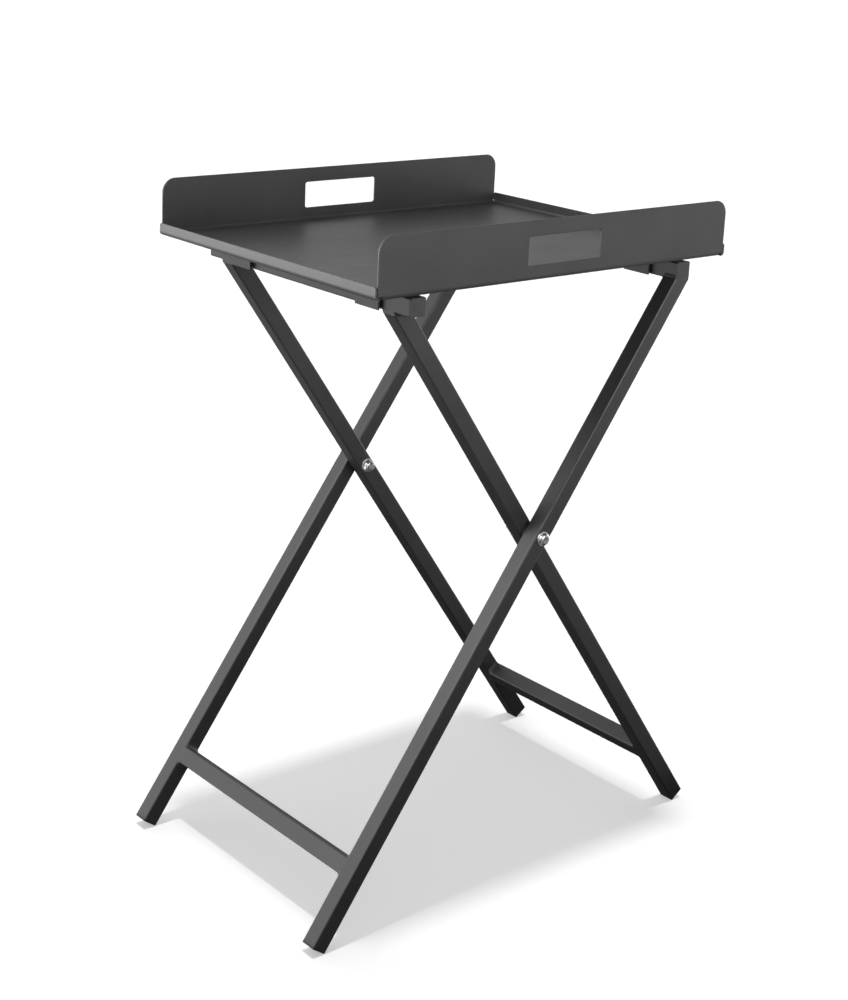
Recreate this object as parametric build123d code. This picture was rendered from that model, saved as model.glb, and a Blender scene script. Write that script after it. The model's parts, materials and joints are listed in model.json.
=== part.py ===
"""Folding tray table: a handled sheet-metal tray that drops over a crossed-leg stand.

X runs along the tray's tall walls, Y across the stand and Z up. The origin is on the
floor, below the leg pivots. Every length is in millimetres.
"""
from build123d import *
import math
import os

# Stand
TUBE = 20.0  # outside of the square tube
TUBE_WALL = 1.5
TUBE_CORNER = 2.0
LEG_ANGLE = 54.45  # slope of the open legs, degrees from the floor
PIVOT_HEIGHT = 412.0
STAND_HALF_WIDTH = 178.0  # to the outer faces of the outer legs
LEG_GAP = 3.7  # between an outer and an inner leg
STRETCHER_DROP = 410.0  # pivot to stretcher, measured along the leg
BAR_OFFSET = 194.0  # pivot to the middle of each top bar, along X
BAR_BOTTOM = 683.0
BAR_END_PLATE = 2.0
FOOT_FLANGE = 2.6
FOOT_EDGE = 0.8
PLUG_FLANGE = 2.2
PLUG_EDGE = 0.6
PLUG_DEPTH = 14.0
PLUG_SLACK = 0.05
PLUG_WALL = 1.6
SEAM_EDGE = 0.5  # rounds a cap where it meets the tube, which leaves a fine groove

# Tray
SHEET = 2.0
BEND_INSIDE = 3.0
TRAY_CENTRE_X = -10.0
TRAY_LENGTH = 504.0  # over the two low lips
TRAY_HALF_WIDTH = 194.0
TRAY_BOTTOM = 709.0
WALL_TOP = 772.6
LIP_TOP = 723.0
WALL_CORNER = 16.0
LIP_CORNER = 3.0
CORNER_SEAM = 0.6
CORNER_RELIEF = 3.0
SHEET_EDGE = 0.6
BOTTOM_EDGE = 0.01  # an edge no higher than this joins a bend, and stays sharp
HAND_HOLE = (104.0, 30.4)
HAND_HOLE_HEIGHT = 740.6
HAND_HOLE_CORNER = 3.0

# Saddles under the tray
SADDLE_LENGTH = 38.0
OUTER_SADDLE_MIDDLE = 119.0  # from the middle of the tray, along Y
INNER_SADDLE_MIDDLE = 113.0
SADDLE_SLACK = 2.25
SADDLE_BOTTOM = 682.5
PAD_SIZE = (18.0, 32.0)

# Pivot hardware, M8
SHANK_R = 4.0
RUNNING_FIT = 0.05
HEAD_R = 7.0
HEAD_HEIGHT = 4.4
HEAD_CROWN = 3.2
SOCKET_FLATS = 5.0
SOCKET_DEPTH = 2.6
WASHER_R = 8.0
WASHER_HOLE_R = 4.2
WASHER = 1.6
SPACER_R = 9.0
SPACER_SLACK = 0.1
SLEEVE_R = 5.5
NUT_FLATS = 13.0
NUT_HEX = 5.4
NUT_COLLAR = 2.6
NUT_COLLAR_R = 5.9
NUT_COLLAR_EDGE = 1.1
NUT_BEVEL_R = 7.345  # the hexagon's corners are turned down to this
NUT_BEVEL = (1.2, 0.7)  # across the end faces and along the sides
SHANK_PROUD = 1.0
SHANK_BEVEL = 0.6
THREAD_FIT = 0.02  # between the shank and the nut

slope = math.radians(LEG_ANGLE)
half = TUBE / 2
bore = TUBE - 2 * TUBE_WALL
inner_half_width = STAND_HALF_WIDTH - TUBE - LEG_GAP
bar_top = BAR_BOTTOM + TUBE
bend_outside = BEND_INSIDE + SHEET
# The foot stands on its lower edge, which is rounded.
foot_reach = FOOT_EDGE + (
    PIVOT_HEIGHT - (half - FOOT_EDGE) * math.cos(slope) - FOOT_EDGE
) / math.sin(slope)


def save(shape, name):
    """Label one node and write it as a STEP file."""
    shape.label = name
    export_step(shape, f"parts/{name}.step")


def leg_axis(lean):
    """Unit vector up a leg; lean is 1 where its top is at +X and -1 at -X."""
    return Vector(lean * math.cos(slope), 0, math.sin(slope))


def tube(plane, length):
    """Square tube with rounded corners, extruded from a plane along its normal."""
    profile = RectangleRounded(TUBE, TUBE, TUBE_CORNER)
    profile -= RectangleRounded(bore, bore, TUBE_CORNER - TUBE_WALL)
    return extrude(plane * profile, length)


def stopper(plane, flange, edge, depth):
    """Plastic cap on the end of a tube: the flange lies on the plane's +Z side, and the
    hollow body reaches back into the tube."""
    flange_body = extrude(RectangleRounded(TUBE, TUBE, TUBE_CORNER), flange)
    flange_body = fillet(flange_body.faces().sort_by(Axis.Z)[-1].edges(), edge)
    flange_body = fillet(flange_body.faces().sort_by(Axis.Z)[0].edges(), SEAM_EDGE)
    outside = bore - 2 * PLUG_SLACK
    inside = outside - 2 * PLUG_WALL
    shank = extrude(RectangleRounded(outside, outside, TUBE_CORNER - TUBE_WALL), -depth)
    shank -= extrude(RectangleRounded(inside, inside, TUBE_CORNER - TUBE_WALL), -depth)
    return plane * (flange_body + shank)


def side_cylinder(x, z, radius, near, far):
    """Round bar along Y between two places."""
    plane = Plane(origin=(x, near, z), z_dir=(0, 1, 0))
    return extrude(plane * Circle(radius), far - near)


def box(low, high):
    """Box between two corners."""
    size = [b - a for a, b in zip(low, high)]
    return Pos(*low) * Box(*size, align=(Align.MIN, Align.MIN, Align.MIN))


def leg(lean, outside_face, side, hole_r):
    """One leg: square cut at the foot, coped under and beside its top bar."""
    middle = side * (outside_face - half)
    axis = leg_axis(lean)
    start = Vector(0, middle, PIVOT_HEIGHT) - axis * (foot_reach - FOOT_FLANGE)
    plane = Plane(origin=start, x_dir=(0, 1, 0), z_dir=axis)
    blank = tube(plane, foot_reach + (bar_top - PIVOT_HEIGHT) / math.sin(slope))
    wide = 2 * TUBE
    near = middle - wide
    far = middle + wide
    bar_inside = BAR_OFFSET - half
    bar_outside = BAR_OFFSET + half
    cope = box((bar_inside, near, BAR_BOTTOM), (bar_outside + wide, far, bar_top + wide))
    cope += box((bar_outside, near, BAR_BOTTOM - wide), (bar_outside + wide, far, bar_top))
    if lean < 0:
        cope = mirror(cope, about=Plane.YZ)
    blank -= cope
    return blank - side_cylinder(0, PIVOT_HEIGHT, hole_r, near, far)


def foot(lean, outside_face, side):
    """Cap on the foot end of a leg, square to the leg."""
    axis = leg_axis(lean)
    middle = side * (outside_face - half)
    seat = Vector(0, middle, PIVOT_HEIGHT) - axis * (foot_reach - FOOT_FLANGE)
    plane = Plane(origin=seat, x_dir=(0, 1, 0), z_dir=axis * -1)
    return stopper(plane, FOOT_FLANGE, FOOT_EDGE, PLUG_DEPTH)


def stretcher(lean, reach):
    """Tube between a frame's two legs, with its faces flush with theirs."""
    axis = leg_axis(lean)
    middle = Vector(0, -reach, PIVOT_HEIGHT) - axis * STRETCHER_DROP
    return tube(Plane(origin=middle, x_dir=axis, z_dir=(0, 1, 0)), 2 * reach)


def top_bar(lean, reach):
    """Level tube along Y on which the tray rests."""
    start = (lean * BAR_OFFSET, -reach, BAR_BOTTOM + half)
    return tube(Plane(origin=start, x_dir=(1, 0, 0), z_dir=(0, 1, 0)), 2 * reach)


def bar_end_plate(side):
    """Steel plate let into the end of the outer bar, welded and ground flush."""
    inside = bore - 2 * PLUG_SLACK
    start = (BAR_OFFSET, side * (STAND_HALF_WIDTH - BAR_END_PLATE), BAR_BOTTOM + half)
    plane = Plane(origin=start, x_dir=(1, 0, 0), z_dir=(0, side, 0))
    return extrude(plane * RectangleRounded(inside, inside, TUBE_CORNER - TUBE_WALL), BAR_END_PLATE)


def bar_plug(side):
    """Plastic plug in the overhanging end of the inner bar."""
    seat = (-BAR_OFFSET, side * (STAND_HALF_WIDTH - PLUG_FLANGE), BAR_BOTTOM + half)
    plane = Plane(origin=seat, x_dir=(1, 0, 0), z_dir=(0, side, 0))
    return stopper(plane, PLUG_FLANGE, PLUG_EDGE, PLUG_DEPTH)


def bend(run_axis, middle, start, length):
    """Quarter bend of sheet, running from start along an axis, about a middle line."""
    plane = Plane(origin=start, x_dir=middle, z_dir=run_axis)
    ring = Circle(bend_outside) - Circle(BEND_INSIDE)
    quarter = ring & Pos(bend_outside / 2, bend_outside / 2) * Rectangle(bend_outside, bend_outside)
    return extrude(plane * quarter, length)


def soft_panel(width, height, corner, hole):
    """Upright sheet in XZ with rounded top corners, softened along its free edges.
    The middle of its bottom edge is at the origin and its thickness runs along +Y."""
    outline = Pos(0, height / 2) * Rectangle(width, height)
    outline = fillet(outline.vertices().group_by(Axis.Y)[-1], corner)
    if hole:
        opening = RectangleRounded(*HAND_HOLE, HAND_HOLE_CORNER)
        outline -= Pos(0, hole) * opening
    upright = Plane(origin=(0, 0, 0), x_dir=(1, 0, 0), z_dir=(0, -1, 0))
    sheet = extrude(upright * outline, -SHEET)
    faces = sheet.faces().filter_by(Axis.Y)
    free = [e for f in faces for e in f.edges() if e.center().Z > BOTTOM_EDGE]
    return fillet(free, SHEET_EDGE)


def tray_pan():
    """Folded pan: floor, two tall walls with hand holes, two low lips, open seams."""
    lip_face = TRAY_LENGTH / 2
    lip_bend = lip_face - bend_outside
    wall_bend = TRAY_HALF_WIDTH - bend_outside
    wall_base = TRAY_BOTTOM + bend_outside
    wall_length = TRAY_LENGTH - 2 * SHEET - 2 * CORNER_SEAM
    bend_half = lip_bend - CORNER_RELIEF
    pan = box((-lip_bend, -wall_bend, TRAY_BOTTOM), (lip_bend, wall_bend, TRAY_BOTTOM + SHEET))
    hole = HAND_HOLE_HEIGHT - wall_base
    wall = soft_panel(wall_length, WALL_TOP - wall_base, WALL_CORNER, hole)
    lip = soft_panel(2 * TRAY_HALF_WIDTH, LIP_TOP - wall_base, LIP_CORNER, 0)
    for side in (-1, 1):
        turn = 0 if side < 0 else 180
        pan += Rot(0, 0, turn) * Pos(0, -TRAY_HALF_WIDTH, wall_base) * wall
        pan += Rot(0, 0, turn - 90) * Pos(0, -lip_face, wall_base) * lip
        start = Vector(-side * bend_half, side * wall_bend, wall_base)
        pan += bend((side, 0, 0), (0, 0, -1), start, 2 * bend_half)
        start = Vector(side * lip_bend, side * TRAY_HALF_WIDTH, wall_base)
        pan += bend((0, -side, 0), (0, 0, -1), start, 2 * TRAY_HALF_WIDTH)
    return Pos(TRAY_CENTRE_X, 0, 0) * pan


def saddle_middle(lean):
    """How far a saddle's middle is from the middle of the tray, along Y."""
    return OUTER_SADDLE_MIDDLE if lean > 0 else INNER_SADDLE_MIDDLE


def saddle(lean, side):
    """Channel welded under the tray that drops over a top bar. The one over the inner
    bar has no inner flange, so that the bar can swing in under the tray."""
    middle_x = lean * BAR_OFFSET
    inside = half + SADDLE_SLACK
    outside = inside + SHEET
    web_bottom = TRAY_BOTTOM - SHEET
    near = side * saddle_middle(lean) - SADDLE_LENGTH / 2
    far = near + SADDLE_LENGTH
    left = middle_x - inside
    right = middle_x + (inside if lean > 0 else outside + SHEET)
    channel = box((middle_x - outside, near, SADDLE_BOTTOM), (middle_x + outside, far, TRAY_BOTTOM))
    channel = fillet(channel.edges().filter_by(Axis.Y).group_by(Axis.Z)[-1], SHEET)
    return channel - box((left, near, SADDLE_BOTTOM), (right, far, web_bottom))


def saddle_pad(lean, side):
    """Rubber pad under the saddle's web, on which the bar bears."""
    width, length = PAD_SIZE
    x = lean * BAR_OFFSET - width / 2
    y = side * saddle_middle(lean) - length / 2
    pad = box((x, y, bar_top), (x + width, y + length, TRAY_BOTTOM - SHEET))
    return fillet(pad.edges().filter_by(Axis.Z), TUBE_CORNER)


def pivot_stack(side):
    """Screw, washers, spacer, sleeve and lock nut of one pivot, named, built on -Y and
    mirrored for +Y."""
    z = PIVOT_HEIGHT
    outer_face = -STAND_HALF_WIDTH
    gap_near = outer_face + TUBE
    inner_face = -inner_half_width
    stack_end = inner_face + TUBE
    nut_start = stack_end + SPACER_SLACK + WASHER
    nut_end = nut_start + NUT_HEX + NUT_COLLAR

    def ring(outside_r, hole_r, near, far):
        """Flat ring about the pivot between two places."""
        return side_cylinder(0, z, outside_r, near, far) - side_cylinder(0, z, hole_r, near, far)

    head_seat = outer_face - WASHER
    head = side_cylinder(0, z, HEAD_R, head_seat - HEAD_HEIGHT, head_seat)
    crown = head.faces().sort_by(Axis.Y)[0].edges()
    head = fillet(crown, HEAD_CROWN)
    socket_plane = Plane(origin=(0, head_seat - HEAD_HEIGHT, z), z_dir=(0, 1, 0))
    socket = RegularPolygon(SOCKET_FLATS / 2, 6, major_radius=False)
    head -= extrude(socket_plane * socket, SOCKET_DEPTH)
    shank = side_cylinder(0, z, SHANK_R, head_seat, nut_end + SHANK_PROUD)
    shank = chamfer(shank.faces().sort_by(Axis.Y)[-1].edges(), SHANK_BEVEL)
    hex_plane = Plane(origin=(0, nut_start, z), z_dir=(0, 1, 0))
    hexagon = extrude(hex_plane * RegularPolygon(NUT_FLATS / 2, 6, major_radius=False), NUT_HEX)
    hexagon &= chamfer(extrude(hex_plane * Circle(NUT_BEVEL_R), NUT_HEX).edges(), *NUT_BEVEL)
    collar = side_cylinder(0, z, NUT_COLLAR_R, nut_start + NUT_HEX, nut_end)
    collar = fillet(collar.faces().sort_by(Axis.Y)[-1].edges(), NUT_COLLAR_EDGE)
    nut = hexagon + collar - side_cylinder(0, z, SHANK_R + THREAD_FIT, nut_start, nut_end)
    pieces = {
        "pivot_screw": head + shank,
        "head_washer": ring(WASHER_R, WASHER_HOLE_R, head_seat, outer_face),
        "pivot_spacer": ring(
            SPACER_R, WASHER_HOLE_R, gap_near + SPACER_SLACK, inner_face - SPACER_SLACK
        ),
        "pivot_sleeve": ring(SLEEVE_R, SHANK_R + RUNNING_FIT, inner_face, stack_end),
        "nut_washer": ring(WASHER_R, WASHER_HOLE_R, stack_end + SPACER_SLACK, nut_start),
        "lock_nut": nut,
    }
    if side > 0:
        pieces = {name: mirror(piece, about=Plane.XZ) for name, piece in pieces.items()}
    return pieces


os.makedirs("parts", exist_ok=True)

save(tray_pan(), "tray_pan")
for end, side in (("front", -1), ("rear", 1)):
    for frame, lean in (("outer", 1), ("inner", -1)):
        save(saddle(lean, side), f"{frame}_saddle_{end}")
        save(saddle_pad(lean, side), f"{frame}_saddle_pad_{end}")
    save(leg(1, STAND_HALF_WIDTH, side, SHANK_R + RUNNING_FIT), f"outer_leg_{end}")
    save(leg(-1, inner_half_width, side, SLEEVE_R), f"inner_leg_{end}")
    save(foot(1, STAND_HALF_WIDTH, side), f"outer_foot_{end}")
    save(foot(-1, inner_half_width, side), f"inner_foot_{end}")
    save(bar_end_plate(side), f"outer_bar_end_{end}")
    save(bar_plug(side), f"inner_bar_plug_{end}")
    for name, piece in pivot_stack(side).items():
        save(piece, f"{name}_{end}")

save(top_bar(1, STAND_HALF_WIDTH), "outer_top_bar")
save(top_bar(-1, STAND_HALF_WIDTH - PLUG_FLANGE), "inner_top_bar")
save(stretcher(1, STAND_HALF_WIDTH - TUBE), "outer_stretcher")
save(stretcher(-1, inner_half_width - TUBE), "inner_stretcher")
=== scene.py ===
import json
import math

import bmesh
import bpy
from mathutils import Matrix, Vector

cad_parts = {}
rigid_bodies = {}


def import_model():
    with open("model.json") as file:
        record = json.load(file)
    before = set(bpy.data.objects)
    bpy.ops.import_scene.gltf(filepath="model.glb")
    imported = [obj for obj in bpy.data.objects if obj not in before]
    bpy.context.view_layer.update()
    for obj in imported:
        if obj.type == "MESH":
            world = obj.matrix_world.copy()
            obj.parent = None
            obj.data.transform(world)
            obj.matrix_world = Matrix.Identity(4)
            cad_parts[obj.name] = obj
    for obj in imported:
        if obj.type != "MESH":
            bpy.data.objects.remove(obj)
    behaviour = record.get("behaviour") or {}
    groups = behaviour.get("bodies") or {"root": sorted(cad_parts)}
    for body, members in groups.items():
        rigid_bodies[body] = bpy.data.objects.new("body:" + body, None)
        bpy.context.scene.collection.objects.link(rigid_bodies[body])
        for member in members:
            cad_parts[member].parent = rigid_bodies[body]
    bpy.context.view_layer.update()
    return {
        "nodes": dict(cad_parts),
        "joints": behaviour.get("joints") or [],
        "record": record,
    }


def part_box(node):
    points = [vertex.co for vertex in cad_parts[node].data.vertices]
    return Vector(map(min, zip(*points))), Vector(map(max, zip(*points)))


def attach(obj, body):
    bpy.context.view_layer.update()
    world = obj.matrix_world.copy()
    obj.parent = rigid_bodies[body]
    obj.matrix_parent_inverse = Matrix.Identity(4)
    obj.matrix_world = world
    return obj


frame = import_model()

MM = 0.001
PIVOT = next(joint["pos_m"] for joint in frame["joints"] if joint["name"] == "leg_fold")

# Weld sizes, in metres
CORNER_FILLET = 5.0 * MM  # at the ends of the stretchers, ground smooth
SIDE_BEAD = 3.2 * MM  # under the top bars, beside the legs
FACE_BEAD = 2.2 * MM  # inside the top bars, above the legs
FLUSH_BEAD = 1.6 * MM  # outside the top bars, ground flush
SADDLE_BEAD = 2.4 * MM
EDGE_BEAD = 1.5 * MM  # along the open edge of the inner saddles
SINK = 0.7 * MM  # how deep a weld's root lies in the metal
PROUD = 0.03 * MM  # how far ground metal stands over its neighbours
RIPPLE = 1.5 * MM  # from one ripple of the puddle to the next
SADDLE_INSET = 0.9 * MM  # how far the root of a saddle's weld lies inside its rounded corner
SADDLE_END = 2.0 * MM  # how far it stops short of the saddle's ends
BAR_INSET = 1.0 * MM  # how far welds under a bar stop short of its outer face
BAR_START = 0.5 * MM  # how far they start outside its inner face
FACE_END = 1.5 * MM  # how far welds across a leg stop short of its sides
FLUSH_INSET = 0.1 * MM  # how far a flush weld's root lies inside the bar's outer face
SLOW_WANDER = 4.1 * MM  # lengths over which a bead's size wanders
QUICK_WANDER = 1.7 * MM
TUBE_CORNER = 2.0 * MM
QUARTER = math.pi / 2

# Bends of the tray, in metres
BEND_OUTSIDE = 5.0 * MM
BEND_INSIDE = 3.0 * MM
BEND_RELIEF = 3.0 * MM  # cut out at the corners, between a wall's bend and a lip's
SEALER = 1.2 * MM  # thickness of the sealer that closes it from the inside

# Nylon ring in a lock nut, in metres
RING_INSIDE = 4.05 * MM
RING_OUTSIDE = 4.75 * MM
RING_HEIGHT = 0.35 * MM
RING_ROOT = 0.4 * MM

# Spans of a noise's values that are stretched from none to full
BROAD_SPAN = (0.3, 0.7)
MIDDLE_SPAN = (0.35, 0.65)
UPPER_SPAN = (0.35, 0.75)
PEAK_SPAN = (0.45, 0.75)

# Powder coat: sizes and depths in metres, the rest as shares of the shade or roughness
GRAIN_SIZE = 0.7 * MM
GRAIN_DEPTH = 0.04 * MM
PEEL_SIZE = 2.4 * MM
PEEL_DEPTH = 0.022 * MM
MOTTLE_SIZE = 3.2 * MM
CLOUD_SIZE = 45 * MM
CLOUD_SPREAD = 0.22
SPECKLE_DARK, SPECKLE_LIGHT = 0.75, 1.35
GRAIN_ROUGH, CLOUD_ROUGH = 0.04, 0.03
# Lighter edges: partly wear, partly a painted highlight along the edges
WEAR_AND_HIGHLIGHT_SIZE = 14 * MM
WEAR_AND_HIGHLIGHT_SPAN = (0.42, 0.62)
WEAR_AND_HIGHLIGHT_WIDTH = 0.6 * MM
WEAR_AND_HIGHLIGHT_TURN = (0.90, 0.995)  # cosines of the turn across an edge, where the wear and painted highlight are full and where they barely show
WEAR_AND_HIGHLIGHT_SHARE = 0.5
WEAR_AND_HIGHLIGHT_LIGHTER = 2.6
WEAR_SMOOTHER = 0.12

# Moulded plastic
MOULD_GRAIN = 0.35 * MM
MOULD_ROUGH = 0.05
SCUFF_SIZE = 6 * MM
SCUFF_DARKER, SCUFF_LIGHTER = 0.92, 1.4
SCUFF_ROUGH = 0.1

# Turned steel
TURNING_PITCH = 0.35 * MM
TURNING_DEPTH = 0.006 * MM
TURNING_ROUGH = 0.05
TURNING_DARK = (0.86, 0.86, 0.85)
TURNING_LIGHT = (1.12, 1.12, 1.11)
SMUDGE_SIZE = 3 * MM
SMUDGE_ROUGH = (-0.03, 0.08)
SMUDGE_SPAN = (0.35, 0.7)

# Studio
STUDIO_RADIUS = 40
FLOOR_SHADES = (0.79, 0.79, 0.79), (0.81, 0.81, 0.81)
FLOOR_TOOTH = 2.5 * MM
FLOOR_GLOW = 0.36
WALL_GLOW = 1.05
FLAG_AREA = (-0.03, -0.2), (0.5, 0.65)
FLAG_HEIGHT = 0.5 * MM
PATCH_FALL_OFF = 8.0
WALL_PATCHES = (  # azimuth from +X and elevation in degrees, strength
    (0, 0, 2.47),
    (135, 0, 2.35),
    (90, 0, 2.23),
    (60, 38, 0.75),
    (120, 38, 0.44),
    (315, 0, 0.23),
    (232, 33, 0.8),
    (228, -56, 0.5),
)
# Softboxes: name, place, aim, width and height in metres, power in watts, spread in degrees
LEFT_BOX = ("left_softbox", (-1.6, 0.3, 2.0), (0, 0, 0.6), (1.2, 1.2), 62, 180)
FRONT_BOXES = (
    ("front_strip", (0.2, -1.6, 0.95), (0.2, 0, 0.95), (1.6, 0.5), 5.0, 60),
    ("front_fill", (0.2, -1.6, 0.6), (0.2, 0, 0.6), (1.6, 0.5), 0.93, 60),
)
RAIL_BOX = ("rail_softbox", (-1.75, 0.2, 0.75), (-0.25, 0, 0.1), (0.8, 0.8), 24, 180)
LIP_BOX = ("lip_softbox", (-1.35, 0.75, 0.7), (-0.26, -0.1, 0.7), (1.0, 0.04), 12.2, 180)
SUN_STRENGTH = 1.45
SUN_SPREAD = 4.5
SUN_LEAN = (0.025, 0.012, -1)

# Camera
CAMERA_PLACE = (-1.3507, -1.5394, 1.0932)
CAMERA_HEADING = -39.852
CAMERA_DIP = 14.787
CAMERA_ROLL = 2.503
CAMERA_LENS = 66.28
CAMERA_SENSOR = 36
CAMERA_SHIFT = (0.0245, -0.1237)
CAMERA_REACH = 100


# ---------------------------------------------------------------- node helpers
def new_material(name):
    """Material with an empty node tree but for its shader and output."""
    material = bpy.data.materials.new(name)
    material.use_nodes = True
    tree = material.node_tree
    tree.nodes.clear()
    output = tree.nodes.new("ShaderNodeOutputMaterial")
    shader = tree.nodes.new("ShaderNodeBsdfPrincipled")
    tree.links.new(shader.outputs["BSDF"], output.inputs["Surface"])
    return material, tree, shader


def object_coordinates(tree):
    """Object coordinates in metres."""
    return tree.nodes.new("ShaderNodeTexCoord").outputs["Object"]


def noise(tree, vector, period, detail=2.0, rough=0.5):
    """Noise whose features are about period metres apart."""
    node = tree.nodes.new("ShaderNodeTexNoise")
    node.inputs["Scale"].default_value = 1 / period
    node.inputs["Detail"].default_value = detail
    node.inputs["Roughness"].default_value = rough
    tree.links.new(vector, node.inputs["Vector"])
    return node.outputs["Fac"]


def calculate(tree, operation, a, b):
    """Math node on two values, each an output or a number."""
    node = tree.nodes.new("ShaderNodeMath")
    node.operation = operation
    for socket, value in zip(node.inputs, (a, b)):
        if isinstance(value, (int, float)):
            socket.default_value = value
        else:
            tree.links.new(value, socket)
    return node.outputs["Value"]


def between(tree, value, low, high, start=0.0, stop=1.0):
    """Value from start to stop mapped to low to high."""
    node = tree.nodes.new("ShaderNodeMapRange")
    node.inputs["From Min"].default_value = start
    node.inputs["From Max"].default_value = stop
    node.inputs["To Min"].default_value = low
    node.inputs["To Max"].default_value = high
    tree.links.new(value, node.inputs["Value"])
    return node.outputs["Result"]


def blend_colours(tree, amount, low, high):
    """Colour from low to high as amount goes from 0 to 1; each an output or a colour."""
    node = tree.nodes.new("ShaderNodeMix")
    node.data_type = "RGBA"
    tree.links.new(amount, node.inputs["Factor"])
    for socket, value in ((node.inputs[6], low), (node.inputs[7], high)):
        if isinstance(value, tuple):
            socket.default_value = (*value, 1)
        else:
            tree.links.new(value, socket)
    return node.outputs[2]


def bump(tree, shader, height, depth, under=None):
    """Bump of a depth in metres, on top of another one when given."""
    node = tree.nodes.new("ShaderNodeBump")
    node.inputs["Distance"].default_value = depth
    tree.links.new(height, node.inputs["Height"])
    if under is not None:
        tree.links.new(under.outputs["Normal"], node.inputs["Normal"])
    tree.links.new(node.outputs["Normal"], shader.inputs["Normal"])
    return node


def edge_wear_and_highlight(tree, radius, patches):
    """Mask of the wear and painted edge highlight: 0 on faces and towards 1 along sharp edges,
    in patches.
    """
    rounded = tree.nodes.new("ShaderNodeBevel")
    rounded.samples = 4
    rounded.inputs["Radius"].default_value = radius
    surface = tree.nodes.new("ShaderNodeNewGeometry")
    dot = tree.nodes.new("ShaderNodeVectorMath")
    dot.operation = "DOT_PRODUCT"
    tree.links.new(rounded.outputs["Normal"], dot.inputs[0])
    tree.links.new(surface.outputs["Normal"], dot.inputs[1])
    edge = between(tree, dot.outputs["Value"], 1.0, 0.0, *WEAR_AND_HIGHLIGHT_TURN)
    edge = calculate(tree, "MAXIMUM", calculate(tree, "MINIMUM", edge, 1.0), 0.0)
    return calculate(tree, "MULTIPLY", edge, between(tree, patches, 0.0, 1.0, *WEAR_AND_HIGHLIGHT_SPAN))


def scaled(shade, factor):
    """Colour made lighter or darker."""
    return tuple(c * factor for c in shade)


# ---------------------------------------------------------------- materials
def powder_coat(name, shade, rough):
    """Fine-grained matte powder coat on metal: grain, a little orange peel, mottling and
    clouding, and edges painted lighter in patches, as wear together with a painted highlight,
    and rubbed smoother."""
    material, tree, shader = new_material(name)
    place = object_coordinates(tree)
    grain = noise(tree, place, GRAIN_SIZE, 3.0, 0.6)
    peel = noise(tree, place, PEEL_SIZE, 1.0)
    mottle = noise(tree, place, MOTTLE_SIZE, 2.0, 0.6)
    cloud = noise(tree, place, CLOUD_SIZE, 3.0, 0.55)
    clouded = between(tree, cloud, 0, 0.5, *BROAD_SPAN)
    mottled = between(tree, mottle, 0, 0.5, *MIDDLE_SPAN)
    colour = blend_colours(
        tree,
        calculate(tree, "ADD", clouded, mottled),
        scaled(shade, 1 - CLOUD_SPREAD),
        scaled(shade, 1 + CLOUD_SPREAD),
    )
    speckle = blend_colours(
        tree,
        between(tree, grain, 0, 1, *UPPER_SPAN),
        scaled(shade, SPECKLE_DARK),
        scaled(shade, SPECKLE_LIGHT),
    )
    mixed = tree.nodes.new("ShaderNodeMix")
    mixed.data_type = "RGBA"
    mixed.inputs["Factor"].default_value = 0.5
    tree.links.new(colour, mixed.inputs[6])
    tree.links.new(speckle, mixed.inputs[7])
    # Edges painted lighter in patches: wear together with a painted edge highlight
    wear_and_highlight = edge_wear_and_highlight(tree, WEAR_AND_HIGHLIGHT_WIDTH, noise(tree, place, WEAR_AND_HIGHLIGHT_SIZE, 3.0, 0.6))
    worn_and_highlit = calculate(tree, "MULTIPLY", wear_and_highlight, WEAR_AND_HIGHLIGHT_SHARE)
    finished = blend_colours(tree, worn_and_highlit, mixed.outputs[2], scaled(shade, WEAR_AND_HIGHLIGHT_LIGHTER))
    tree.links.new(finished, shader.inputs["Base Color"])
    dull = between(tree, grain, rough - GRAIN_ROUGH, rough + GRAIN_ROUGH, *BROAD_SPAN)
    uneven = between(tree, cloud, -CLOUD_ROUGH, CLOUD_ROUGH, *BROAD_SPAN)
    smoother = calculate(tree, "MULTIPLY", wear_and_highlight, WEAR_SMOOTHER)
    rubbed = calculate(tree, "SUBTRACT", calculate(tree, "ADD", dull, uneven), smoother)
    tree.links.new(rubbed, shader.inputs["Roughness"])
    coarse = bump(tree, shader, peel, PEEL_DEPTH)
    bump(tree, shader, grain, GRAIN_DEPTH, coarse)
    return material


def moulded_plastic(name, shade, rough, grain_depth=0.02 * MM):
    """Black moulded plastic with a fine spark-eroded grain, scuffed here and there."""
    material, tree, shader = new_material(name)
    place = object_coordinates(tree)
    grain = noise(tree, place, MOULD_GRAIN, 2.0)
    scuffs = noise(tree, place, SCUFF_SIZE, 4.0, 0.65)
    scuffed = between(tree, scuffs, 0, 1, *PEAK_SPAN)
    colour = blend_colours(
        tree, scuffed, scaled(shade, SCUFF_DARKER), scaled(shade, SCUFF_LIGHTER)
    )
    tree.links.new(colour, shader.inputs["Base Color"])
    dull = between(tree, grain, rough - MOULD_ROUGH, rough + MOULD_ROUGH, *BROAD_SPAN)
    rubbed = between(tree, scuffs, 0.0, SCUFF_ROUGH, *PEAK_SPAN)
    tree.links.new(calculate(tree, "ADD", dull, rubbed), shader.inputs["Roughness"])
    bump(tree, shader, grain, grain_depth)
    return material


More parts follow.
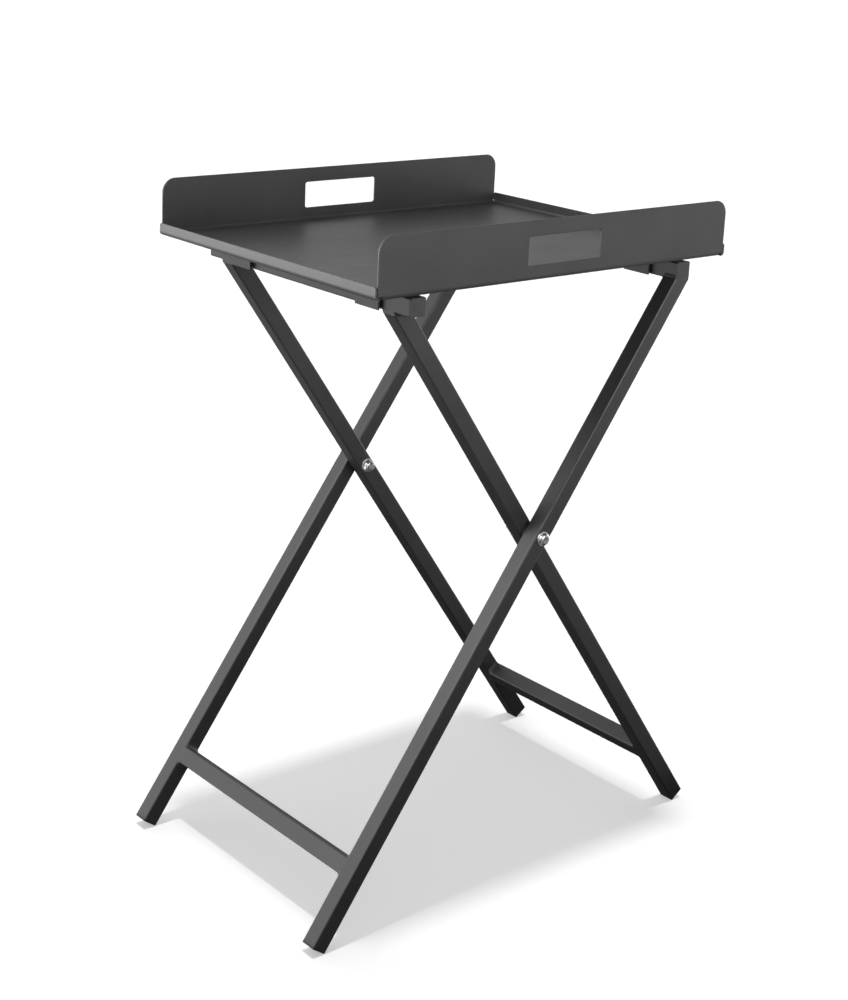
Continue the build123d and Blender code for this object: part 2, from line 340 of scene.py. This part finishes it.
def turned_steel(name, rough, shade=0.62):
    """Bright stainless steel with faint turning marks about the screw's axis."""
    material, tree, shader = new_material(name)
    place = object_coordinates(tree)
    shift = tree.nodes.new("ShaderNodeVectorMath")
    shift.operation = "SUBTRACT"
    shift.inputs[1].default_value = Vector(PIVOT)
    tree.links.new(place, shift.inputs[0])
    flat = tree.nodes.new("ShaderNodeVectorMath")
    flat.operation = "MULTIPLY"
    flat.inputs[1].default_value = (1, 0, 1)
    tree.links.new(shift.outputs["Vector"], flat.inputs[0])
    reach = tree.nodes.new("ShaderNodeVectorMath")
    reach.operation = "LENGTH"
    tree.links.new(flat.outputs["Vector"], reach.inputs[0])
    rings = tree.nodes.new("ShaderNodeTexNoise")
    rings.noise_dimensions = "1D"
    rings.inputs["Scale"].default_value = 1 / TURNING_PITCH
    rings.inputs["Detail"].default_value = 3.0
    tree.links.new(reach.outputs["Value"], rings.inputs["W"])
    smudge = noise(tree, place, SMUDGE_SIZE, 3.0)
    ringed = between(tree, rings.outputs["Fac"], 0, 1, *BROAD_SPAN)
    colour = blend_colours(
        tree, ringed, scaled(TURNING_DARK, shade), scaled(TURNING_LIGHT, shade)
    )
    tree.links.new(colour, shader.inputs["Base Color"])
    smooth, dull = rough - TURNING_ROUGH, rough + TURNING_ROUGH
    turned = between(tree, rings.outputs["Fac"], smooth, dull, *BROAD_SPAN)
    smudged = between(tree, smudge, *SMUDGE_ROUGH, *SMUDGE_SPAN)
    tree.links.new(calculate(tree, "ADD", turned, smudged), shader.inputs["Roughness"])
    shader.inputs["Metallic"].default_value = 1.0
    bump(tree, shader, rings.outputs["Fac"], TURNING_DEPTH)
    return material


def paper_floor():
    """Matte white paper that glows a little, as a lit studio sweep does."""
    material, tree, shader = new_material("studio_floor")
    place = object_coordinates(tree)
    tooth = noise(tree, place, FLOOR_TOOTH, 2.0)
    colour = blend_colours(tree, tooth, *FLOOR_SHADES)
    tree.links.new(colour, shader.inputs["Base Color"])
    shader.inputs["Roughness"].default_value = 0.9
    shader.inputs["Specular IOR Level"].default_value = 0.0
    shader.inputs["Emission Color"].default_value = (1, 1, 1, 1)
    shader.inputs["Emission Strength"].default_value = FLOOR_GLOW
    return material


def white_backdrop():
    """Evenly lit white studio wall."""
    material, _, shader = new_material("studio_backdrop")
    shader.inputs["Base Color"].default_value = (0, 0, 0, 1)
    shader.inputs["Specular IOR Level"].default_value = 0.0
    shader.inputs["Emission Color"].default_value = (1, 1, 1, 1)
    shader.inputs["Emission Strength"].default_value = WALL_GLOW
    return material


material_of = {
    "tray_coat": powder_coat("tray_coat", (0.030, 0.030, 0.0305), 0.42),
    "frame_coat": powder_coat("frame_coat", (0.028, 0.028, 0.0285), 0.42),
    "saddle_coat": powder_coat("saddle_coat", (0.028, 0.028, 0.0285), 0.42),
    "pad_rubber": moulded_plastic("pad_rubber", (0.018, 0.018, 0.018), 0.8, 0.03 * MM),
    "foot_plastic": moulded_plastic("foot_plastic", (0.008, 0.008, 0.008), 0.55),
    "plug_plastic": moulded_plastic("plug_plastic", (0.028, 0.028, 0.0285), 0.45),
    "stainless": turned_steel("stainless", 0.28, 0.72),
    "washer_steel": turned_steel("washer_steel", 0.42, 0.78),
    "nut_steel": turned_steel("nut_steel", 0.3, 0.7),
    "spacer_nylon": moulded_plastic("spacer_nylon", (0.03, 0.03, 0.03), 0.5),
    "sleeve_steel": turned_steel("sleeve_steel", 0.35),
}
slot_of = {row["node"]: row["material_slot"] for row in frame["record"]["subparts"]}
for node, obj in frame["nodes"].items():
    for slot in obj.material_slots:
        slot.material = material_of[slot_of[node]]


# ---------------------------------------------------------------- mesh pieces
def grid_piece(name, grid, closed, slot, body):
    """Smooth mesh piece from rows of points, each row a closed loop. The rows join up end
    to end when closed, and otherwise the first and last row are capped."""
    mesh = bmesh.new()
    rows = [[mesh.verts.new(point) for point in row] for row in grid]
    count = len(rows)
    width = len(rows[0])
    for i in range(count if closed else count - 1):
        a, b = rows[i], rows[(i + 1) % count]
        for j in range(width):
            k = (j + 1) % width
            mesh.faces.new((a[j], a[k], b[k], b[j]))
    if not closed:
        mesh.faces.new(list(reversed(rows[0])))
        mesh.faces.new(rows[-1])
    bmesh.ops.recalc_face_normals(mesh, faces=mesh.faces)
    for face in mesh.faces:
        face.smooth = True
    data = bpy.data.meshes.new(name)
    mesh.to_mesh(data)
    mesh.free()
    data.materials.append(material_of[slot])
    piece = bpy.data.objects.new(name, data)
    bpy.context.scene.collection.objects.link(piece)
    data.set_sharp_from_angle(angle=math.radians(50))
    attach(piece, body)


def middle_of(node):
    """Middle of a node's box."""
    low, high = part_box(node)
    return (Vector(low) + Vector(high)) / 2


def set_back(depth, half):
    """How far a tube's face stands back at a distance from its middle line, where its
    corner rounds off."""
    over = min(max(0.0, abs(depth) - (half - TUBE_CORNER)), TUBE_CORNER)
    return TUBE_CORNER - math.sqrt(TUBE_CORNER**2 - over**2)


def rounded_square(half, side_steps=6, corner_steps=6):
    """Stations round a rounded square: (point, outward direction) in its own plane."""
    stations = []
    inner = half - TUBE_CORNER
    for quarter in range(4):
        turn = quarter * QUARTER
        across = Vector((math.cos(turn), math.sin(turn)))
        along = Vector((-math.sin(turn), math.cos(turn)))
        for step in range(side_steps):
            place = -inner + 2 * inner * step / side_steps
            stations.append((across * half + along * place, across))
        centre = across * inner + along * inner
        for step in range(corner_steps):
            angle = step / corner_steps * QUARTER
            outward = across * math.cos(angle) + along * math.sin(angle)
            stations.append((centre + outward * TUBE_CORNER, outward))
    return stations


def corner_weld(name, centre, up, out, side, reach, half, body):
    """Weld round the end of a stretcher, ground flush with the outer faces and left as a
    smooth fillet above and below. up runs along the leg and out square to both tubes."""
    steps = 8
    thinnest = 1.2 * MM
    rows = []
    for place, outward in rounded_square(half):
        share = outward.y**2
        on_leg = CORNER_FILLET * share
        on_stretcher = thinnest + (CORNER_FILLET - thinnest) * share
        back = set_back(place.x, half)
        row = []
        for step in range(steps + 1):
            angle = step / steps * QUARTER
            away = on_leg * (1 - math.cos(angle))
            clear = on_stretcher - (on_stretcher + back) * math.sin(angle) + PROUD
            flat = Vector((place.x, place.y)) + outward * PROUD
            flat.y += math.copysign(away, outward.y)
            row.append((flat, clear))
        root = place - outward * SINK
        row.append((Vector((root.x, root.y)), -SINK))
        rows.append(
            [
                centre + out * flat.x + up * flat.y + Vector((0, side * (reach - clear), 0))
                for flat, clear in row
            ]
        )
    grid_piece(name, rows, True, "frame_coat", body)


def bead(
    name, start, end, first, second, size, slot, body, bulge=0.12, ripple=0.04, outward=None
):
    """Run of weld in the corner between two faces, which lead away along first and second.
    It has the ripples of the puddle and rounded ends. bulge and ripple are shares of its
    size, and outward is the way that it bulges, between first and second unless given."""
    steps = 9
    blunt = 0.04
    line = end - start
    length = line.length
    count = max(24, int(length / RIPPLE * 8))
    outward = outward or (first + second).normalized()
    rows = []
    for index in range(count + 1):
        travel = index / count * length
        from_end = min(travel, length - travel) / (1.2 * size)
        full = math.sqrt(max(0.0, 1 - (1 - min(1.0, from_end)) ** 2))
        taper = full * (1 - blunt) + blunt
        beat = math.cos(2 * math.pi * travel / RIPPLE)
        slow = 0.05 * math.sin(travel / SLOW_WANDER)
        quick = 0.03 * math.sin(travel / QUICK_WANDER + 1)
        reach = size * taper * (1 + slow + quick)
        base = start + line * (travel / length)
        row = []
        for step in range(steps + 1):
            share = step / steps
            swell = math.sin(math.pi * share) * (bulge + ripple * beat) * reach
            edge = reach * (1 + 0.5 * ripple * beat)
            chord = first * edge * (1 - share) + second * edge * share
            row.append(base + chord + outward * swell)
        row.append(base - outward * SINK * taper)
        rows.append(row)
    grid_piece(name, rows, False, slot, body)


def stretcher_welds(which, body, lean):
    """Welds at both ends of a frame's stretcher."""
    _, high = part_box(f"{which}_stretcher")
    centre = middle_of(f"{which}_stretcher")
    centre.y = 0
    pivot = Vector(PIVOT)
    up = Vector((pivot.x - centre.x, 0, pivot.z - centre.z)).normalized()
    out = Vector((-lean * up.z, 0, lean * up.x))
    half = tube_half()
    for end, side in (("front", -1), ("rear", 1)):
        corner_weld(f"weld_{which}_stretcher_{end}", centre, up, out, side, high[1], half, body)


def tube_half():
    """Half the outside of the square tube."""
    low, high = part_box("outer_top_bar")
    return (high[2] - low[2]) / 2


def bar_welds(which, body, lean):
    """Beads where the legs of a frame meet the underside and the inner side of its bar."""
    half = tube_half()
    low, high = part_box(f"{which}_top_bar")
    bottom = low[2]
    inner_x = low[0] if lean > 0 else high[0]
    outer_x = high[0] if lean > 0 else low[0]
    pivot = Vector(PIVOT)
    centre = middle_of(f"{which}_stretcher")
    axis = Vector((pivot.x - centre.x, 0, pivot.z - centre.z)).normalized()
    face_x = pivot.x - lean * axis.z * half
    face_z = pivot.z + abs(axis.x) * half
    travel = (inner_x - face_x) / axis.x
    meet_z = face_z + axis.z * travel
    for end, side in (("front", -1), ("rear", 1)):
        leg_low, leg_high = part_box(f"{which}_leg_{end}")
        middle = (leg_low[1] + leg_high[1]) / 2
        for face, place in ((-1, leg_low[1]), (1, leg_high[1])):
            if abs(place) > high[1] - BAR_INSET:
                continue  # this side of the leg is flush with the bar's end
            bead(
                f"weld_{which}_bar_{end}_{'low' if face < 0 else 'high'}",
                Vector((inner_x - lean * BAR_START, place, bottom)),
                Vector((outer_x - lean * BAR_INSET, place, bottom)),
                Vector((0, face, 0)),
                Vector((0, 0, -1)),
                SIDE_BEAD,
                "frame_coat",
                body,
            )
        run = half - FACE_END
        flush_x = outer_x - lean * FLUSH_INSET
        bead(
            f"weld_{which}_bar_{end}_face",
            Vector((inner_x, middle - run, meet_z)),
            Vector((inner_x, middle + run, meet_z)),
            Vector((0, 0, 1)),
            -axis,
            FACE_BEAD,
            "frame_coat",
            body,
            bulge=0.04,
            ripple=0.02,
        )
        bead(
            f"weld_{which}_bar_{end}_flush",
            Vector((flush_x, middle - run, bottom)),
            Vector((flush_x, middle + run, bottom)),
            Vector((0, 0, 1)),
            Vector((0, 0, -1)),
            FLUSH_BEAD,
            "frame_coat",
            body,
            bulge=0.08,
            ripple=0.01,
            outward=Vector((lean, 0, 0)),
        )


def saddle_welds(which, lean):
    """Beads that hold a saddle to the underside of the tray."""
    tray_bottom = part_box("tray_pan")[0][2]
    for end in ("front", "rear"):
        low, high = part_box(f"{which}_saddle_{end}")
        for face, x in ((-1, low[0]), (1, high[0])):
            open_edge = which == "inner" and face > 0
            place = x - face * SADDLE_INSET
            bead(
                f"weld_{which}_saddle_{end}_{'low' if face < 0 else 'high'}",
                Vector((place, low[1] + SADDLE_END, tray_bottom)),
                Vector((place, high[1] - SADDLE_END, tray_bottom)),
                Vector((face, 0, 0)),
                Vector((0, 0, -1)),
                EDGE_BEAD if open_edge else SADDLE_BEAD,
                "saddle_coat",
                "tray",
            )


def corner_seals():
    """Sealer that closes the bend relief at each corner of the tray from the inside."""
    low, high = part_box("tray_pan")
    for end, lip_face, inward in (("left", low[0], 1), ("right", high[0], -1)):
        for wall, wall_face, toward in (("front", low[1], 1), ("rear", high[1], -1)):
            centre = Vector((0, wall_face + toward * BEND_OUTSIDE, low[2] + BEND_OUTSIDE))
            rays = []
            for step in range(9):
                angle = step / 8 * QUARTER
                rays.append(Vector((0, -toward * math.cos(angle), -math.sin(angle))))
            inner = BEND_INSIDE + PROUD
            section = [centre + ray * (inner + SEALER) for ray in rays]
            section += [centre + ray * inner for ray in reversed(rays)]
            rows = []
            for reach in (BEND_OUTSIDE - SINK, BEND_OUTSIDE + BEND_RELIEF + SINK):
                shift = Vector((lip_face + inward * reach, 0, 0))
                rows.append([point + shift for point in section])
            grid_piece(f"corner_seal_{wall}_{end}", rows, False, "tray_coat", "tray")


def lock_ring(end, side):
    """Nylon insert in the mouth of a lock nut."""
    low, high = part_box(f"lock_nut_{end}")
    face_y = low[1] if side > 0 else high[1]
    pivot = Vector(PIVOT)
    middle = (RING_INSIDE + RING_OUTSIDE) / 2
    half = (RING_OUTSIDE - RING_INSIDE) / 2
    rows = []
    count = 64
    for index in range(count):
        angle = 2 * math.pi * index / count
        ray = Vector((math.cos(angle), 0, math.sin(angle)))
        profile = []
        for step in range(7):
            turn = step / 6 * math.pi
            profile.append((middle - math.cos(turn) * half, math.sin(turn) * RING_HEIGHT))
        profile += [(RING_OUTSIDE, -RING_ROOT), (RING_INSIDE, -RING_ROOT)]
        rows.append(
            [
                pivot + ray * radius + Vector((0, face_y - pivot.y - side * lift, 0))
                for radius, lift in profile
            ]
        )
    grid_piece(f"lock_ring_{end}", rows, True, "spacer_nylon", "outer_frame")


for which, body, lean in (("outer", "outer_frame", 1), ("inner", "inner_frame", -1)):
    stretcher_welds(which, body, lean)
    bar_welds(which, body, lean)
    saddle_welds(which, lean)
for end, side in (("front", -1), ("rear", 1)):
    lock_ring(end, side)
corner_seals()


# ---------------------------------------------------------------- studio
def seen_only(obj):
    """Scenery that the camera sees and that throws no light on the object."""
    obj.visible_diffuse = False
    obj.visible_glossy = False
    obj.visible_transmission = False
    obj.visible_shadow = False


def sweep():
    """White paper floor out to a white wall all round."""
    bpy.ops.mesh.primitive_circle_add(vertices=96, radius=STUDIO_RADIUS, fill_type="NGON")
    paper = bpy.context.object
    paper.name = "studio_floor"
    paper.data.materials.append(paper_floor())
    seen_only(paper)
    bpy.ops.mesh.primitive_uv_sphere_add(segments=64, ring_count=32, radius=STUDIO_RADIUS)
    wall = bpy.context.object
    wall.name = "studio_backdrop"
    wall.data.materials.append(white_backdrop())
    seen_only(wall)
    return paper


def flag(low, high):
    """Black card on the floor that only reflections see, to darken what faces down."""
    material, _, shader = new_material("flag_black")
    shader.inputs["Base Color"].default_value = (0, 0, 0, 1)
    shader.inputs["Specular IOR Level"].default_value = 0.0
    data = bpy.data.meshes.new("flag")
    corners = [(low[0], low[1]), (high[0], low[1]), (high[0], high[1]), (low[0], high[1])]
    data.from_pydata([(x, y, FLAG_HEIGHT) for x, y in corners], [], [(0, 1, 2, 3)])
    data.materials.append(material)
    card = bpy.data.objects.new("flag", data)
    bpy.context.scene.collection.objects.link(card)
    card.visible_camera = False
    card.visible_diffuse = False
    card.visible_transmission = False
    card.visible_shadow = False


def lights_only(light, objects, state):
    """Light that reaches only these objects, or all but these."""
    lit = bpy.data.collections.new(f"{light.name}_lit")
    light.light_linking.receiver_collection = lit
    for obj in objects:
        lit.objects.link(obj)
    for member in lit.collection_objects:
        member.light_linking.link_state = state


def softbox(name, place, target, size, power, spread):
    """Rectangular area light aimed at a point."""
    data = bpy.data.lights.new(name, "AREA")
    data.shape = "RECTANGLE"
    data.size, data.size_y = size
    data.energy = power
    data.spread = math.radians(spread)
    light = bpy.data.objects.new(name, data)
    light.location = place
    light.rotation_euler = (Vector(target) - Vector(place)).to_track_quat("-Z", "Y").to_euler()
    light.visible_camera = False
    bpy.context.scene.collection.objects.link(light)
    return light


def overhead():
    """Distant light from above, for the soft shadow under the tray."""
    data = bpy.data.lights.new("overhead", "SUN")
    data.energy = SUN_STRENGTH
    data.angle = math.radians(SUN_SPREAD)
    light = bpy.data.objects.new("overhead", data)
    light.rotation_euler = Vector(SUN_LEAN).to_track_quat("-Z", "Y").to_euler()
    bpy.context.scene.collection.objects.link(light)
    return light


def surroundings(patches):
    """Studio walls as broad soft patches of light, each (azimuth, elevation, strength)."""
    world = bpy.data.worlds.new("studio")
    bpy.context.scene.world = world
    world.use_nodes = True
    tree = world.node_tree
    background = tree.nodes["Background"]
    background.inputs["Color"].default_value = (1, 1, 1, 1)
    source = tree.nodes.new("ShaderNodeTexCoord")
    total = 0.0
    for azimuth, elevation, strength in patches:
        a, e = math.radians(azimuth), math.radians(elevation)
        level = math.cos(e)
        dot = tree.nodes.new("ShaderNodeVectorMath")
        dot.operation = "DOT_PRODUCT"
        dot.inputs[1].default_value = (level * math.cos(a), level * math.sin(a), math.sin(e))
        tree.links.new(source.outputs["Generated"], dot.inputs[0])
        facing = calculate(tree, "MAXIMUM", dot.outputs["Value"], 0.0)
        spread = calculate(tree, "POWER", facing, PATCH_FALL_OFF)
        total = calculate(tree, "ADD", calculate(tree, "MULTIPLY", spread, strength), total)
    tree.links.new(total, background.inputs["Strength"])


def camera():
    """Camera above the near left corner, looking slightly down, with a slight roll."""
    data = bpy.data.cameras.new("camera")
    data.sensor_fit = "VERTICAL"
    data.sensor_height = CAMERA_SENSOR
    data.lens = CAMERA_LENS
    data.shift_x, data.shift_y = CAMERA_SHIFT
    data.clip_end = CAMERA_REACH
    obj = bpy.data.objects.new("camera", data)
    turn = Matrix.Rotation(math.radians(CAMERA_HEADING), 4, "Z")
    tilt = Matrix.Rotation(math.radians(90 - CAMERA_DIP), 4, "X")
    roll = Matrix.Rotation(math.radians(CAMERA_ROLL), 4, "Z")
    obj.matrix_world = Matrix.Translation(CAMERA_PLACE) @ turn @ tilt @ roll
    bpy.context.scene.collection.objects.link(obj)
    bpy.context.scene.camera = obj


paper = sweep()
flag(*FLAG_AREA)
surroundings(WALL_PATCHES)
low_rail = [
    obj
    for obj in bpy.context.scene.objects
    if obj is frame["nodes"]["outer_stretcher"] or obj.name.startswith("weld_outer_stretcher")
]
lights_only(softbox(*LEFT_BOX), (paper, *low_rail), "EXCLUDE")
for box in FRONT_BOXES:
    lights_only(softbox(*box), (paper,), "EXCLUDE")
lights_only(softbox(*RAIL_BOX), low_rail, "INCLUDE")
lights_only(softbox(*LIP_BOX), (frame["nodes"]["tray_pan"],), "INCLUDE")
lights_only(overhead(), (paper,), "INCLUDE")
camera()
bpy.context.scene.view_settings.view_transform = "Standard"
